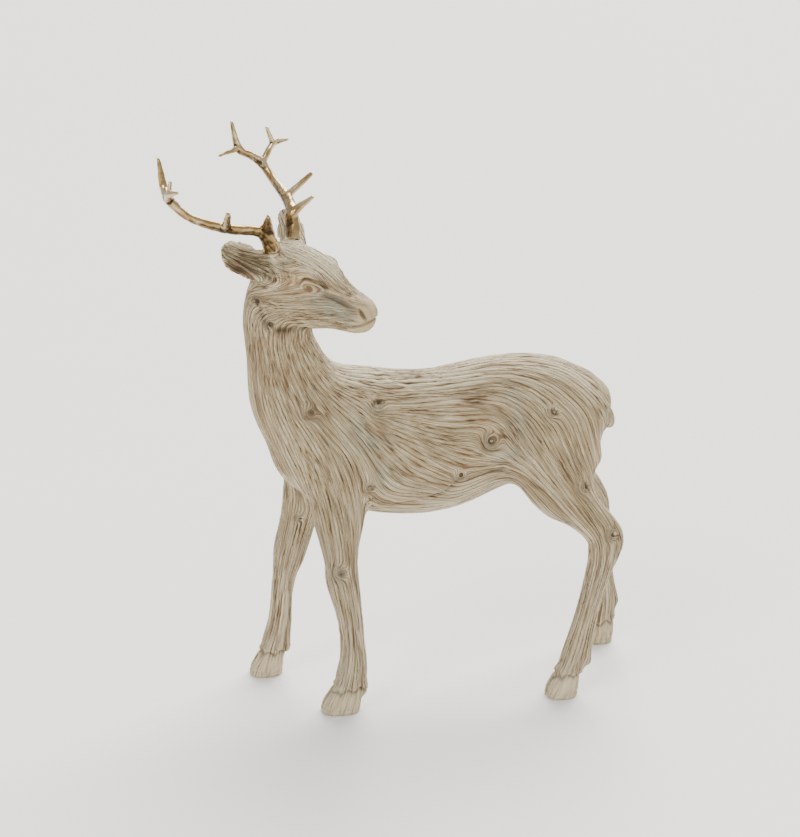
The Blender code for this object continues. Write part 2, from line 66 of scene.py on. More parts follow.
class Value:
    """A number that a material works out at each point, for use in Python expressions."""

    def __init__(self, sheet: "NodeSheet", socket: bpy.types.NodeSocket) -> None:
        """Wraps an output socket.

        Args:
            sheet: the material's nodes.
            socket: the output that carries the number.
        """
        self.sheet = sheet
        self.socket = socket

    def _maths(self, operation: str, *inputs: Number, clamp: bool = False) -> "Value":
        """Adds one Math node.

        Args:
            operation: the node's operation.
            inputs: its values, in order.
            clamp: whether the result is kept from 0 to 1.

        Returns:
            The node's result.
        """
        settings = {"operation": operation, "use_clamp": clamp}
        made = self.sheet.node("ShaderNodeMath", settings, dict(enumerate(inputs)))
        return Value(self.sheet, made.outputs[0])

    def __add__(self, other: Number) -> "Value":
        """Adds a number."""
        return self._maths("ADD", self, other)

    __radd__ = __add__

    def __sub__(self, other: Number) -> "Value":
        """Takes a number away."""
        return self._maths("SUBTRACT", self, other)

    def __rsub__(self, other: Number) -> "Value":
        """Is taken away from a number."""
        return self._maths("SUBTRACT", other, self)

    def __mul__(self, other: Number) -> "Value":
        """Multiplies by a number."""
        return self._maths("MULTIPLY", self, other)

    __rmul__ = __mul__

    def sine(self) -> "Value":
        """Gives the sine."""
        return self._maths("SINE", self)

    def kept(self) -> "Value":
        """Keeps the number from 0 to 1."""
        return self._maths("ADD", self, 0.0, clamp=True)

    def larger(self, other: Number) -> "Value":
        """Gives the larger of this and another number."""
        return self._maths("MAXIMUM", self, other)

    def fold(self) -> "Value":
        """Gives the number without its sign."""
        return self._maths("ABSOLUTE", self)

    def rim(self, middle: float, width: float) -> "Value":
        """Is 1 at the middle, and falls smoothly to 0 a width away."""
        return (self - middle).fold().step(width, 0.0)

    def hat(self, middle: float) -> "Value":
        """Is 1 at the middle, and falls evenly to 0 a unit away."""
        return (1.0 - (self - middle).fold()).larger(0.0)

    def step(self, low: float, high: float) -> "Value":
        """Rises smoothly from 0 at low to 1 at high.

        Args:
            low: where the rise begins.
            high: where the rise ends.

        Returns:
            The share of the rise.
        """
        made = self.sheet.node(
            "ShaderNodeMapRange",
            {"interpolation_type": "SMOOTHSTEP", "clamp": True},
            {"Value": self, "From Min": low, "From Max": high},
        )
        return Value(self.sheet, made.outputs[0])


class NodeSheet:
    """The nodes of one material."""

    def __init__(self, name: str) -> None:
        """Begins a material with a Principled shader.

        Args:
            name: the material's name.
        """
        self.material = bpy.data.materials.new(name)
        self.material.use_nodes = True
        self.tree = self.material.node_tree
        self.tree.nodes.clear()
        self.surface = self.node("ShaderNodeBsdfPrincipled", {}, {})
        self.node("ShaderNodeOutputMaterial", {}, {"Surface": self.surface.outputs[0]})

    def node(self, kind: str, settings: dict[str, Any], sockets: dict[Any, Any]) -> bpy.types.Node:
        """Adds a node.

        Args:
            kind: the node's type.
            settings: its own settings, set first.
            sockets: a value, Value or output socket for each input, by name or number.

        Returns:
            The new node.
        """
        made = self.tree.nodes.new(kind)
        for name, setting in settings.items():
            setattr(made, name, setting)
        for key, given in sockets.items():
            given = given.socket if isinstance(given, Value) else given
            if isinstance(given, bpy.types.NodeSocket):
                self.tree.links.new(given, made.inputs[key])
            else:
                made.inputs[key].default_value = given
        return made

    def feed(self, name: str, given: Any) -> None:
        """Feeds a Value or an output socket to the shader."""
        given = given.socket if isinstance(given, Value) else given
        self.tree.links.new(given, self.surface.inputs[name])

    def bump(self, strength: float, distance: float, height: Value) -> None:
        """Feeds the shader's normal from a height.

        Args:
            strength: how strong the relief is.
            distance: how high it is, in metres.
            height: the height, in parts of the distance.
        """
        sockets = {"Strength": strength, "Distance": distance, "Height": height}
        self.feed("Normal", self.node("ShaderNodeBump", {}, sockets).outputs[0])

    def place(self) -> bpy.types.NodeSocket:
        """Gives the point's place in space."""
        return self.node("ShaderNodeNewGeometry", {}, {}).outputs["Position"]

    def attribute(self, name: str) -> Value:
        """Reads a number that the mesh carries at each point."""
        made = self.node("ShaderNodeAttribute", {"attribute_name": name}, {})
        return Value(self, made.outputs["Fac"])

    def noise(self, place: Any, scale: float, detail: float = 2.0, rough: float = 0.5) -> Value:
        """Adds a noise.

        Args:
            place: the vector that it is read at.
            scale: how many features there are in a unit.
            detail: how many finer layers it has.
            rough: how strong the finer layers are.

        Returns:
            A number around a half.
        """
        sockets = {"Vector": place, "Scale": scale, "Detail": detail, "Roughness": rough}
        return Value(self, self.node("ShaderNodeTexNoise", {}, sockets).outputs[0])

    def vector(self, x: Number, y: Number, z: Number) -> bpy.types.NodeSocket:
        """Joins three numbers in a vector."""
        return self.node("ShaderNodeCombineXYZ", {}, {"X": x, "Y": y, "Z": z}).outputs[0]

    def mix(self, share: Number, first: Any, second: Any) -> bpy.types.NodeSocket:
        """Mixes two colours.

        Args:
            share: how much of the second there is.
            first: a colour or an output socket.
            second: a colour or an output socket.

        Returns:
            The mixed colour.
        """
        sockets = {0: share, 6: self._colour(first), 7: self._colour(second)}
        return self.node("ShaderNodeMix", {"data_type": "RGBA"}, sockets).outputs[2]

    @staticmethod
    def _colour(given: Any) -> Any:
        """Gives a plain colour its fourth number, and leaves a socket as it is."""
        return given if isinstance(given, bpy.types.NodeSocket) else (*given, 1.0)


# Each wave of the carving: turn between the two directions across the grain, grooves' pitch in
# millimetres, how it leans along x and z, start, and weight.
WAVES = (
    (0.05, 3.7, 0.021, -0.016, 0.4, 0.30),
    (0.62, 3.2, -0.030, 0.013, 2.1, 0.24),
    (1.13, 4.1, 0.012, 0.032, 4.0, 0.26),
    (1.66, 3.5, -0.018, -0.027, 5.3, 0.28),
    (2.21, 3.9, 0.034, 0.008, 1.2, 0.24),
    (2.74, 3.3, -0.009, 0.022, 3.3, 0.26),
)

# What the flow leaves at each point: two numbers that grow across the hair, how often their pace
# has halved there, and which of the two grows, as the cosine and sine of a doubled angle.
FLOW = ("across_first", "across_second", "stretch", "facing_cosine", "facing_sine")


def hat(number: Arrays, middle: float) -> Arrays:
    """Is 1 at the middle, and falls evenly to 0 a unit away."""
    return np.maximum(1 - np.abs(number - middle), 0)


def grooves(
    flow: Sequence[Any],
    x: Any,
    z: Any,
    sine: Callable[[Any], Any],
    share: Callable[[Any, float], Any],
    finer: float,
) -> Any:
    """The lie of the carved strands, the same for the mesh and for the finish.

    The grooves run where it crosses 0, and the strands swell between them. New grooves start where
    the hair fans out, and a wave that would run along the hair is left out.

    Args:
        flow: the numbers named in FLOW, at the point.
        x: the point's place along the figure.
        z: the point's height.
        sine: the sine to use.
        share: the hat to blend the sizes with.
        finer: how many times finer than the pitches in WAVES.

    Returns:
        A number from about -1 to 1.
    """
    first, second, stretch, facing_cosine, facing_sine = flow
    sizes = [(2.0**power, share(stretch, power)) for power in (0, 1, 2, 3)]
    total: Any = 0.0
    for turn, pitch, lean_x, lean_z, start, weight in WAVES:
        rate = math.tau / pitch * finer
        phase = first * (rate * math.cos(turn)) + second * (rate * math.sin(turn))
        drift = x * lean_x + z * lean_z + start
        across = facing_cosine * math.cos(2 * turn) + facing_sine * math.sin(2 * turn) + 1.0
        wave: Any = 0.0
        for times, part in sizes:
            wave = sine(phase * times + drift) * part + wave
        total = wave * across * weight + total
    return total


def turned_from(
    forward: Any, up: Any, from_forward: float, from_up: float, turn: float
) -> tuple[Any, Any]:
    """Places a point of the face along and across a turned line.

    Args:
        forward: the point's place forward.
        up: its place upward.
        from_forward: where the line starts, forward.
        from_up: where it starts, upward.
        turn: the line's turn in degrees.

    Returns:
        The places along the line and across it.
    """
    cosine, sine = math.cos(math.radians(turn)), math.sin(math.radians(turn))
    ahead, over = forward - from_forward, up - from_up
    return ahead * cosine + over * sine, over * cosine - ahead * sine


def oval(ahead: Any, over: Any, middle: tuple[float, float], reach: tuple[float, float]) -> Any:
    """Tells where a point lies in an oval: 0 at its middle and 1 on its rim.

    Args:
        ahead: the point's place along the oval.
        over: its place across the oval.
        middle: the oval's middle.
        reach: how far it reaches each way.

    Returns:
        A number that grows with the square of the distance.
    """
    along, across = (ahead - middle[0]) * (1 / reach[0]), (over - middle[1]) * (1 / reach[1])
    return along * along + across * across


def eye_place(forward: Any, up: Any) -> tuple[Any, Any]:
    """Places a point of the face along the eye and above its middle."""
    return turned_from(forward, up, 35.2, -18.4, -9.0)


@dataclass(frozen=True)
class ResinFinish:
    """Whitewashed cast resin: cream ridges, brown grooves, green-grey wash, painted shade and
    light.
    """

    cream: Triple = (0.80, 0.70, 0.48)
    ridge: Triple = (0.56, 0.445, 0.265)
    body: Triple = (0.26, 0.17, 0.082)
    groove: Triple = (0.085, 0.045, 0.016)
    wash: Triple = (0.30, 0.295, 0.225)
    slate: Triple = (0.115, 0.105, 0.08)
    ochre: Triple = (0.30, 0.165, 0.065)
    dark: Triple = (0.035, 0.022, 0.01)

    def material(self) -> bpy.types.Material:
        """Makes the material from the numbers that the casting carries.

        Returns:
            The material.
        """
        sheet = NodeSheet("whitewashed resin")
        flow = [sheet.attribute(name) for name in FLOW]
        first, second, stretch = flow[:3]
        place_x, place_z = sheet.attribute("place_x"), sheet.attribute("place_z")
        carved, hollow = sheet.attribute("carved"), sheet.attribute("hollow")
        slow = place_x * 0.035 - place_z * 0.045
        fine: Any = 0.0
        for power in (0, 1, 2, 3):
            times = 2.0**power
            fine_place = sheet.vector(first * times, second * times, slow)
            fine = sheet.noise(fine_place, 0.62, 3.0, 0.65) * stretch.hat(power) + fine
        spots, broad = sheet.noise(sheet.place(), 60.0), sheet.noise(sheet.place(), 22.0)
        locks, hairs = (
            (grooves(flow, place_x, place_z, Value.sine, Value.hat, finer).fold() * steep).kept()
            for finer, steep in ((LOCKS, LOCK_STEEPNESS), (HAIRS, 2.0))
        )
        relief = locks * 0.38 + hairs * 0.42 + (fine - 0.5) * 1.8 + 0.10
        relief = (relief - 0.62) * carved + 0.62
        colour = sheet.mix(relief.step(0.1, 0.95), self.body, self.ridge)
        warm = sheet.attribute("warm") * broad.step(0.35, 0.7) * 0.8
        colour = sheet.mix(warm, colour, self.ochre)
        washed = (sheet.attribute("washed") + (broad - 0.5) * 0.9).kept() * spots.step(0.3, 0.62)
        colour = sheet.mix(washed * 0.75, colour, self.wash)
        # Brown in the narrow grooves, deepened there as painted shade.
        groove_brown_and_shade = relief.step(0.48, 0.08) * (0.45 + spots.step(0.35, 0.65) * 0.5)
        colour = sheet.mix(groove_brown_and_shade, colour, self.groove)
        # Painted light: the pale share lightens the parts that face the light, the lower legs and
        # the ears' rims.
        pale = sheet.attribute("pale") * relief.step(0.25, 0.8) * (0.4 + broad * 0.8)
        colour = sheet.mix((pale * 0.8).kept(), colour, self.cream)
        # Painted shade: the carved hollows are darkened, most where they sink deepest.
        colour = sheet.mix((hollow * (1.7 - relief * 0.8)).kept() * 0.85, colour, self.dark)
        # Painted highlight on the ridges' crests, over the whitewash there.
        cream = (relief.step(0.7, 1.05) * fine.step(0.42, 0.6)) * 0.6
        colour = sheet.mix(cream, colour, self.cream)
        sheet.feed("Base Color", self._face_marks(sheet, colour))
        sheet.feed("Roughness", 0.62 + (spots - 0.5) * 0.3 - cream * 0.2)
        sheet.bump(1.0, 0.0016, relief + (spots - 0.5) * 0.15)
        sheet.surface.inputs["Specular IOR Level"].default_value = 0.35
        return sheet.material

    def _face_marks(self, sheet: NodeSheet, colour: Any) -> Any:
        """Paints the eyes, nostrils, mouth and the grooves before the eyes.

        Args:
            sheet: the material's nodes.
            colour: the colour under them.

        Returns:
            The colour with the marks.
        """
        forward, up = sheet.attribute("head_forward"), sheet.attribute("head_up")
        beside = sheet.attribute("head_left").fold().step(3.0, 7.0)
        along, above = eye_place(forward, up)
        tear_run, tear_over = turned_from(forward, up, 41.0, -20.6, -17.6)
        slot_run, slot_over = turned_from(forward, up, 72.6, -31.6, -51.0)
        eye = oval(along, above, (0.0, 0.0), (6.0, 3.493))
        iris = oval(along, above, (-1.3, -0.3), (1.0, 0.9129))
        brow = oval(along, above, (0.0, 0.6), (9.747, 6.782))
        socket = oval(along, above, (6.0, 2.5), (4.472, 3.0))
        lid = (eye - 1.75).fold().step(0.5, 0.1) * above.step(-3.0, 1.0)
        tear = oval(tear_run, tear_over, (13.0, 0.0), (13.784, 2.345))
        line = tear_over.rim(-1.2, 1.0) * tear_run.step(-1.0, 5.0) * tear_run.step(27.0, 19.0)
        pad = oval(forward, up, (70.0, -33.5), (8.367, 8.944)).rim(1.0, 0.28)
        nostril = oval(slot_run, slot_over, (0.0, 0.0), (4.583, 1.483))
        marks = (
            # Painted shade under the brow and in the socket before the eye.
            (brow.rim(1.0, 0.42) * above.step(0.5, 4.0) * 0.65, self.groove),
            (socket.step(1.2, 0.1) * 0.6, self.groove),
            (eye.step(1.05, 0.8) * 0.35, self.ridge),
            (lid * 0.6, self.cream),
            (iris.step(15.0, 6.0) * 0.9, self.ochre),
            (iris.step(10.0, 3.0) * 0.8, self.groove),
            (eye.rim(1.08, 0.32) * (0.35 + above.step(-2.0, 3.0) * 0.4), self.groove),
            (tear.step(1.5, 0.0) * 0.75, self.slate),
            (line * 0.6, self.groove),
            (pad * (forward + up).step(38.0, 44.0) * 0.45, self.groove),
            (nostril.step(1.8, 0.2) * 0.75, self.groove),
        )
        for share, paint in marks:
            colour = sheet.mix(share * beside, colour, paint)
        mouth = (up - (forward - 60.0) * (forward - 60.0) * 0.0225).rim(-44.0, 1.3)
        mouth = mouth * forward.step(54.0, 68.0) * up.step(-52.0, -47.0)
        return sheet.mix(mouth * 0.55, colour, self.groove)


@dataclass(frozen=True)
class GiltFinish:
    """Antique gold on the antlers, with brown-black left in the hollows and painted shade on the
    sheltered sides.
    """

    gold: Triple = (0.33, 0.215, 0.09)
    pale: Triple = (0.55, 0.42, 0.24)
    patina_and_shade: Triple = (0.028, 0.015, 0.006)

    def material(self) -> bpy.types.Material:
        """Makes the material.

        Returns:
            The material.
        """
        sheet = NodeSheet("antique gilding")
        cloud, speck = sheet.noise(sheet.place(), 60.0, 3.0), sheet.noise(sheet.place(), 420.0)
        hollow = sheet.attribute("hollow")
        colour = sheet.mix(cloud.step(0.42, 0.6), self.gold, self.pale)
        # Brown-black left in the hollows, and painted shade on the sheltered side.
        left = (hollow + (cloud - 0.5) * 0.3 + (speck - 0.5) * 0.3).step(0.28, 0.85)
        sheet.feed("Base Color", sheet.mix(left * 0.94, colour, self.patina_and_shade))
        sheet.feed("Roughness", 0.24 + left * 0.3 + (speck - 0.5) * 0.15)
        sheet.surface.inputs["Metallic"].default_value = 1.0
        sheet.bump(0.35, 0.0004, cloud * 0.7 + speck * 0.3)
        return sheet.material


@dataclass(frozen=True)
class FloorFinish:
    """A plain pale studio floor with the faintest tooth."""

    colour: Triple = (0.86, 0.855, 0.845)

    def material(self) -> bpy.types.Material:
        """Makes the material.

        Returns:
            The material.
        """
        sheet = NodeSheet("studio floor")
        shade = tuple(0.985 * part for part in self.colour)
        tooth = sheet.noise(sheet.place(), 3.0)
        sheet.feed("Base Color", sheet.mix(tooth, self.colour, shade))
        sheet.surface.inputs["Roughness"].default_value = 0.8
        return sheet.material


def cast_copy(node: str, name: str) -> bpy.types.Object:
    """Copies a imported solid, to be worked on.

    Args:
        node: the solid's name in the frame.
        name: the copy's name.

    Returns:
        The copy, in the scene.
    """
    made = bpy.data.objects.new(name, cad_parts[node].data.copy())
    bpy.context.scene.collection.objects.link(made)
    return made


def apply_modifier(piece: bpy.types.Object, kind: str, **settings: Any) -> None:
    """Adds one modifier and keeps its result.

    Args:
        piece: the piece to change.
        kind: the modifier's type.
        settings: the modifier's settings.
    """
    modifier = piece.modifiers.new(kind.lower(), kind)
    for name, setting in settings.items():
        setattr(modifier, name, setting)
    changed = piece.evaluated_get(bpy.context.evaluated_depsgraph_get())
    mesh = bpy.data.meshes.new_from_object(changed)
    piece.modifiers.clear()
    piece.data = mesh


def read(items: Any, name: str, width: int, kind: type = np.float32) -> Arrays:
    """Reads a row of numbers from each of a mesh's points, edges or faces.

    Args:
        items: the points, edges or faces.
        name: what is read.
        width: how many numbers a row has.
        kind: the numbers' type.

    Returns:
        The rows.
    """
    flat = np.empty(len(items) * width, kind)
    items.foreach_get(name, flat)
    return flat.reshape(-1, width)


def points_of(mesh: bpy.types.Mesh) -> Arrays:
    """A mesh's points in millimetres."""
    return read(mesh.vertices, "co", 3, float) / MM


def normals_of(mesh: bpy.types.Mesh) -> Arrays:
    """A mesh's directions out of its surface, at its points."""
    return read(mesh.vertex_normals, "vector", 3).astype(float)


def edges_of(mesh: bpy.types.Mesh) -> Arrays:
    """A mesh's edges as pairs of point numbers."""
    return read(mesh.edges, "vertices", 2, np.int32)


def triangles_of(mesh: bpy.types.Mesh) -> Arrays:
    """A mesh's faces as triples of point numbers."""
    mesh.calc_loop_triangles()
    return read(mesh.loop_triangles, "vertices", 3, np.int32)


def read_numbers(mesh: bpy.types.Mesh, name: str) -> Arrays:
    """Reads back a number kept at each point of a mesh."""
    return read(mesh.attributes[name].data, "value", 1)[:, 0].astype(float)


def write_numbers(mesh: bpy.types.Mesh, **fields: Arrays) -> None:
    """Keeps numbers at each point of a mesh, in place of older ones of the same name.

    Args:
        mesh: the mesh.
        fields: the numbers, by name.
    """
    for name, numbers in fields.items():
        if name in mesh.attributes:
            mesh.attributes.remove(mesh.attributes[name])
        kept = mesh.attributes.new(name, "FLOAT", "POINT")
        kept.data.foreach_set("value", np.ascontiguousarray(numbers, np.float32))


def set_points(mesh: bpy.types.Mesh, points: Arrays) -> None:
    """Moves a mesh's points to places in millimetres."""
    mesh.vertices.foreach_set("co", (points * MM).ravel())
    mesh.update()


def in_head(points: Arrays) -> Arrays:
    """Gives places in millimetres in the head's forward, left and up."""
    return (points - HEAD_CENTRE) @ HEAD_AXES.T


def inside_box(points: Arrays, node: str) -> Arrays:
    """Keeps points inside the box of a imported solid."""
    solid = points_of(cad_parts[node].data)
    return np.clip(points, solid.min(0), solid.max(0))


def settle(piece: bpy.types.Object, node: str, faces: int) -> None:
    """Thins a carved piece, keeps it inside its solid's box, and shades it smooth.

    Args:
        piece: the piece.
        node: the solid that it replaces.
        faces: how many triangles it may have.
    """
    count = sum(len(face.vertices) - 2 for face in piece.data.polygons)
    if count > faces:
        apply_modifier(piece, "DECIMATE", decimate_type="COLLAPSE", ratio=faces / count)
    mesh = piece.data
    set_points(mesh, inside_box(points_of(mesh), node))
    mesh.polygons.foreach_set("use_smooth", np.ones(len(mesh.polygons), bool))


def neighbour_mean(edges: Arrays, field: Arrays) -> Arrays:
    """Averages a field over each point's neighbours.

    Args:
        edges: pairs of point numbers.
        field: a number or a row of numbers for each point.

    Returns:
        The averages, in the field's own shape.
    """
    count = len(field)
    ends = np.concatenate([edges[:, 0], edges[:, 1]])
    others = np.concatenate([edges[:, 1], edges[:, 0]])
    degree = np.maximum(np.bincount(ends, minlength=count), 1)
    columns = field.reshape(count, -1)
    means = [np.bincount(ends, c[others], count) / degree for c in columns.T]
    return np.stack(means, 1).reshape(field.shape)


def fair(points: Arrays, edges: Arrays, rounds: int, strength: Arrays) -> Arrays:
    """Smooths a surface without shrinking it.

    Args:
        points: the places to smooth.
        edges: pairs of point numbers.
        rounds: how many in-and-out passes are made.
        strength: how much each point may move, from 0 to 1.

    Returns:
        The smoothed places.
    """
    for _ in range(rounds):
        for share in (0.5, -0.52):
            way = neighbour_mean(edges, points) - points
            points = points + way * (share * strength)[:, None]
    return points


def nearest(points: Arrays, path: Sequence[Sequence[float]]) -> tuple[Arrays, Arrays, Arrays]:
    """Finds where a path of straight runs passes nearest to each point.

    Args:
        points: rows of coordinates.
        path: the path's corners, in the same coordinates.

    Returns:
        The distances, the ways from the path to the points, and the places along it, in runs.
    """
    corners = np.array(path, float)
    best, places = np.full(len(points), np.inf), np.zeros(len(points))
    ways = np.zeros(points.shape)
    for number, (start, end) in enumerate(zip(corners[:-1], corners[1:])):
        run = end - start
        share = np.clip((points - start) @ run / (run @ run), 0.0, 1.0)
        way = points - start - share[:, None] * run
        far = np.linalg.norm(way, axis=1)
        closer = far < best
        best = np.where(closer, far, best)
        ways = np.where(closer[:, None], way, ways)
        places = np.where(closer, number + share, places)
    return best, ways, places


def near(points: Arrays, path: Sequence[Sequence[float]]) -> Arrays:
    """The distance from each point to a path of straight runs."""
    return nearest(points, path)[0]


def bell(distance: Arrays, reach: float) -> Arrays:
    """A soft hump that is 1 at no distance and dies away past the reach."""
    return np.exp(-((distance / reach) ** 2))


def rise(number: Arrays, low: float, high: float) -> Arrays:
    """Rises smoothly from 0 at low to 1 at high."""
    share = np.clip((number - low) / (high - low), 0.0, 1.0)
    return share * share * (3 - 2 * share)


# Which way the hair runs: x, distance from the middle plane, height, then x and z of the way.
FLANK_STROKES = (
    (-115, 20, 284, 0.04, -1.0), (-98, 30, 276, 0.11, -0.99), (-78, 26, 279, 0.42, -0.91),
    (-66, 38, 261, 0.60, -0.80), (-41, 45, 257, 0.78, -0.62), (-83, 42, 233, 0.44, -0.90),
    (-57, 48, 226, 0.64, -0.77), (-79, 42, 189, 0.30, -0.95), (-57, 45, 187, 0.12, -0.99),
    (-1, 20, 269, 1.0, 0.07), (41, 20, 273, 0.99, 0.12), (4, 50, 251, 0.95, -0.33),
    (43, 45, 259, 0.99, -0.17), (0, 55, 228, 0.75, -0.66), (32, 55, 226, 0.83, -0.56),
    (-15, 52, 203, 0.72, -0.70), (18, 50, 193, 0.80, -0.60), (-8, 35, 166, 1.0, 0.0),
    (45, 35, 175, 0.96, 0.29), (78, 35, 267, 0.93, -0.36), (87, 40, 244, 0.64, -0.77),
    (124, 20, 244, 0.67, -0.75), (68, 48, 215, 0.18, -0.98), (97, 48, 212, 0.38, -0.93),
    (131, 35, 212, 0.20, -0.98), (121, 50, 163, 0.59, -0.81), (-108, 15, 229, 0.32, -0.95),
    (-92, 20, 193, 0.52, -0.85), (-125, 0, 300, 0.0, -1.0), (-118, 0, 260, 0.1, -1.0),
    (-112, 0, 225, 0.25, -0.95), (-100, 0, 190, 0.5, -0.85), (-70, 0, 163, 0.9, -0.3),
    (-30, 0, 156, 1.0, 0.0), (10, 0, 150, 1.0, 0.0), (50, 0, 165, 1.0, 0.2),
    (85, 0, 178, 0.9, 0.1), (-40, 0, 268, 1.0, 0.0), (0, 0, 271, 1.0, 0.05),
    (40, 0, 274, 1.0, 0.0), (80, 0, 272, 0.98, -0.15), (110, 0, 262, 0.85, -0.5),
    (135, 0, 238, 0.4, -0.9), (147, 0, 210, 0.0, -1.0),
)
# Middle lines of the neck, legs and tail, along the hair: x, y and height.
LIMB_PATHS = (
    ((-101, -18, 345), (-103, -16, 312), (-102, -12, 292), (-97, -9, 272), (-90, -8, 251)),
    (
        (-65, -31, 190), (-62, -39, 152), (-61, -42, 111), (-56, -42, 86), (-53, -43, 56),
        (-55, -46, 29), (-63, -47, 3),
    ),
    (
        (-73, 15, 185), (-84, 23, 144), (-92, 26, 111), (-97, 27, 88), (-101, 28, 58),
        (-106, 29, 29), (-114, 28, 3),
    ),
    (
        (111, -37, 184), (127, -44, 155), (146, -48, 130), (142, -49, 106), (135, -50, 79),
        (128, -51, 51), (121, -52, 26), (113, -52, 3),
    ),
    (
        (122, 21, 184), (143, 30, 154), (161, 35, 129), (166, 36, 105), (170, 37, 78),
        (174, 38, 50), (173, 39, 26), (170, 40, 3),
    ),
    ((136, -8, 242), (148, -8, 230), (155, -8, 219), (159, -8, 207)),
)
# The same on the head and ears, in the head's own forward, left and up.
HEAD_PATHS = (
    ((78, 0, -34), (40, 0, -30), (5, 0, -25)),
    ((66, 8, -36), (40, 15, -36), (14, 21, -32), (-6, 18, -24)),
    ((66, -8, -36), (40, -15, -36), (14, -21, -32), (-6, -18, -24)),
    ((68, 0, -19), (40, 0, -5), (14, 0, 5), (-8, 0, 0)),
    ((-22, -49, 5), (-16, -43, 0), (-5, -28, -8), (3, -14, -15)),
    ((-25, 42, 9), (-19, 38, 6), (-8, 28, -2), (3, 15, -13)),
)


class Side(Enum):
    """Which flank of the animal a knot is on. The left one lies on the low side across."""

    LEFT = 1
    RIGHT = -1


@dataclass(frozen=True)
class Knot:
    """A carved knot, with the hair running round it."""

    side: Side
    x: float
    height: float
    spread: float
    swirl: float
    proud: float


# Each knot: x and height, spread, how far the hair swings round it, and how proud it stands.
LEFT_KNOTS = (
    (53, 214, 6.5, 12.0, 0.9), (-83, 241, 5.0, 8.0, 0.7), (-31, 243, 5.5, 8.5, 0.6),
    (102, 233, 5.0, 7.0, 0.4), (30, 189, 4.0, 5.5, 0.5), (-40, 183, 4.0, 6.0, 0.5),
    (126, 175, 4.5, 6.0, 0.4), (148, 136, 4.6, 7.0, 0.4), (-63, 118, 5.2, 9.0, 0.5),
    (-111, 310, 4.0, 5.5, 0.6), (-119, 327, 3.2, 4.5, 0.6),
)
RIGHT_KNOTS = (
    (40, 222, 6.5, 11.0, 0.8), (-62, 236, 5.5, 8.5, 0.6), (96, 212, 5.0, 7.0, 0.5),
    (-2, 196, 4.0, 5.5, 0.4), (-95, 289, 4.5, 6.0, 0.5), (-87, 140, 3.5, 4.5, 0.3),
    (153, 141, 3.4, 4.5, 0.3),
)
KNOTS = [Knot(Side.LEFT, *row) for row in LEFT_KNOTS]
KNOTS += [Knot(Side.RIGHT, *row) for row in RIGHT_KNOTS]


@dataclass(frozen=True)
class Ear:
    """An ear's middle line and half widths, and where it opens, in the head's directions."""

    stations: tuple[tuple[float, float, float, float], ...]
    spread: Triple
    opens: Triple


EARS = (
    Ear(
        (
            (1.8, -18.6, -17.6, 6.5), (-3.7, -19.4, -12.6, 9.6), (-8.4, -26.4, -9.1, 11.7),
            (-14.1, -34.7, -4.3, 12.4), (-19.3, -41.3, 0.1, 11.2), (-23.7, -48.8, 4.5, 5.0),
        ),
        (-0.10, 0.45, 0.89),
        (0.85, -0.43, 0.31),
    ),
    Ear(
        (
            (-2.5, 22, -7, 11.0), (-8.5, 28, -2, 11.5), (-14, 34, 2.5, 11.0),
            (-19.3, 38.5, 6, 9.0), (-25, 42, 9.5, 3.4),
        ),
        (0.77, 0.40, 0.50),
        (0.10, 0.70, -0.71),
    ),
)


